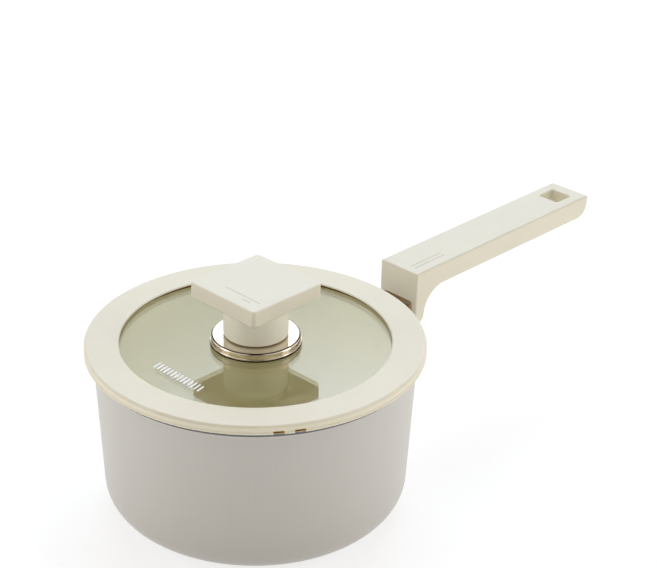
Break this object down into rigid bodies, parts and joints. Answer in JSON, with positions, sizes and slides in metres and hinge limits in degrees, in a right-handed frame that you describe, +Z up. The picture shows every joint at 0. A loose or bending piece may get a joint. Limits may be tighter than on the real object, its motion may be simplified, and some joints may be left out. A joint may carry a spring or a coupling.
{
  "type": "saucepan with glass lid",
  "caption": "Round saucepan with a long flat handle and a tinted glass lid in a silicone rim, lifted by a square knob on a polished round bezel.",
  "frame": {"origin": "centre of the pan's base, on the surface that it stands on", "axes": "+Z up along the pan's axis, +X along the handle, away from the pan"},
  "size_m": [0.3961, 0.2, 0.1416],
  "materials": {
    "pan_coating": "satin warm grey coating on cast aluminium",
    "cream_plastic": "matte",
    "silicone": "matte",
    "tinted_glass": "polished",
    "chrome": "polished",
    "steel": "brushed",
    "aluminium": "satin",
    "brass": "turned"
  },
  "bodies": {
    "pan": {"pan_body": "pan_coating", "induction_plate": "steel", "handle_bracket": "steel", "bracket_rivets": "aluminium", "handle": "cream_plastic", "handle_lock_washer": "steel", "handle_screw": "steel"},
    "lid_glass": {"glass_panel": "tinted_glass"},
    "lid_fittings": {"silicone_rim": "silicone", "knob": "cream_plastic", "knob_insert": "brass", "knob_bezel": "chrome", "bezel_packing": "silicone", "glass_bushing": "silicone", "under_packing": "silicone", "clamp_washer": "steel", "knob_lock_washer": "steel", "knob_screw": "steel"}
  },
  "joints": [
    {"name": "lid_lift", "type": "slide", "parent": "pan", "child": "lid_glass", "axis": [0, 0, 1], "range_m": [0, 0.15]},
    {"name": "lid_turn", "type": "hinge", "parent": "lid_glass", "child": "lid_fittings", "pos_m": [0, 0, 0.1036], "axis": [0, 0, 1], "continuous": true}
  ]
}
